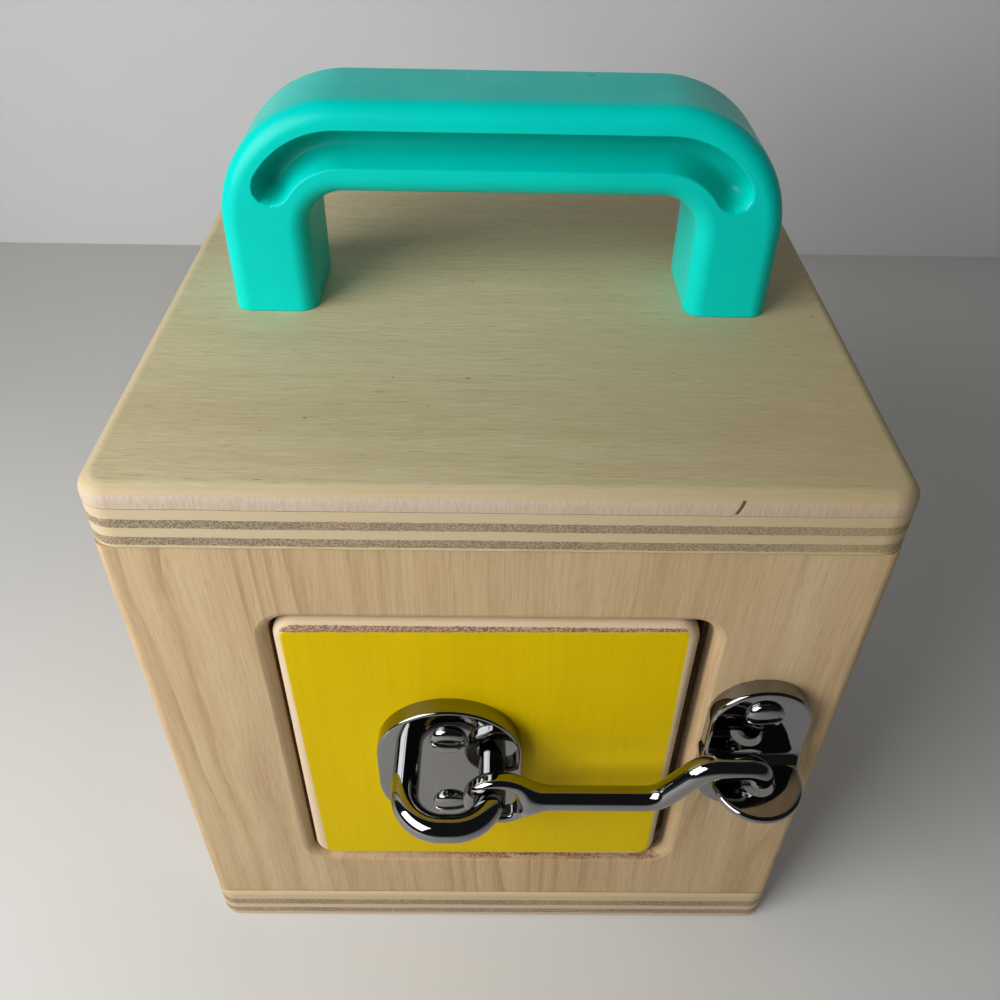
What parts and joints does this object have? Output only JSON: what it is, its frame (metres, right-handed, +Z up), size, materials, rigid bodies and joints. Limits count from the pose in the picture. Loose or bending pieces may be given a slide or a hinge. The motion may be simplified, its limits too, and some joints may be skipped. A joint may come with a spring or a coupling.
{
  "type": "wooden lock box toy",
  "caption": "Plywood toy box with an arched plastic carrying handle and a painted door in its front that swings on hidden pins and is held shut by a cabin hook.",
  "frame": {"origin": "middle of the base's underside", "axes": "+Z up, -Y out of the front with the door, +X to the right as seen from the front"},
  "size_m": [0.1516, 0.1726, 0.2005],
  "materials": {
    "plywood": "clear matt varnish",
    "beech": "plain",
    "yellow_paint": "painted face, bare edges",
    "teal_plastic": "satin gloss",
    "polished_metal": "polished",
    "zinc_steel": "zinc plated",
    "brass": "plain"
  },
  "bodies": {
    "case": {"base_panel": "plywood", "front_panel": "plywood", "back_panel": "plywood", "left_panel": "plywood", "right_panel": "plywood", "top_panel": "plywood", "wall_dowels": "beech", "top_dowels": "beech", "base_screws": "zinc_steel", "door_stop": "beech", "handle": "teal_plastic", "handle_inserts": "brass", "handle_screws": "zinc_steel", "handle_washers": "zinc_steel", "keeper_plate": "polished_metal", "keeper_screws": "polished_metal"},
    "door": {"door_panel": "yellow_paint", "upper_pivot_pin": "zinc_steel", "lower_pivot_pin": "zinc_steel", "staple_plate": "polished_metal", "staple": "polished_metal", "staple_screws": "polished_metal"},
    "hook": {"hook_arm": "polished_metal"}
  },
  "joints": [
    {"name": "door_swing", "type": "hinge", "parent": "case", "child": "door", "pos_m": [-0.04075, -0.071, 0.07645], "axis": [0, 0, -1], "range_deg": [0, 105]},
    {"name": "hook_lift", "type": "hinge", "parent": "door", "child": "hook", "pos_m": [-0.0009, -0.0854, 0.07705], "axis": [0, -1, 0], "range_deg": [-2.5, 100]}
  ]
}
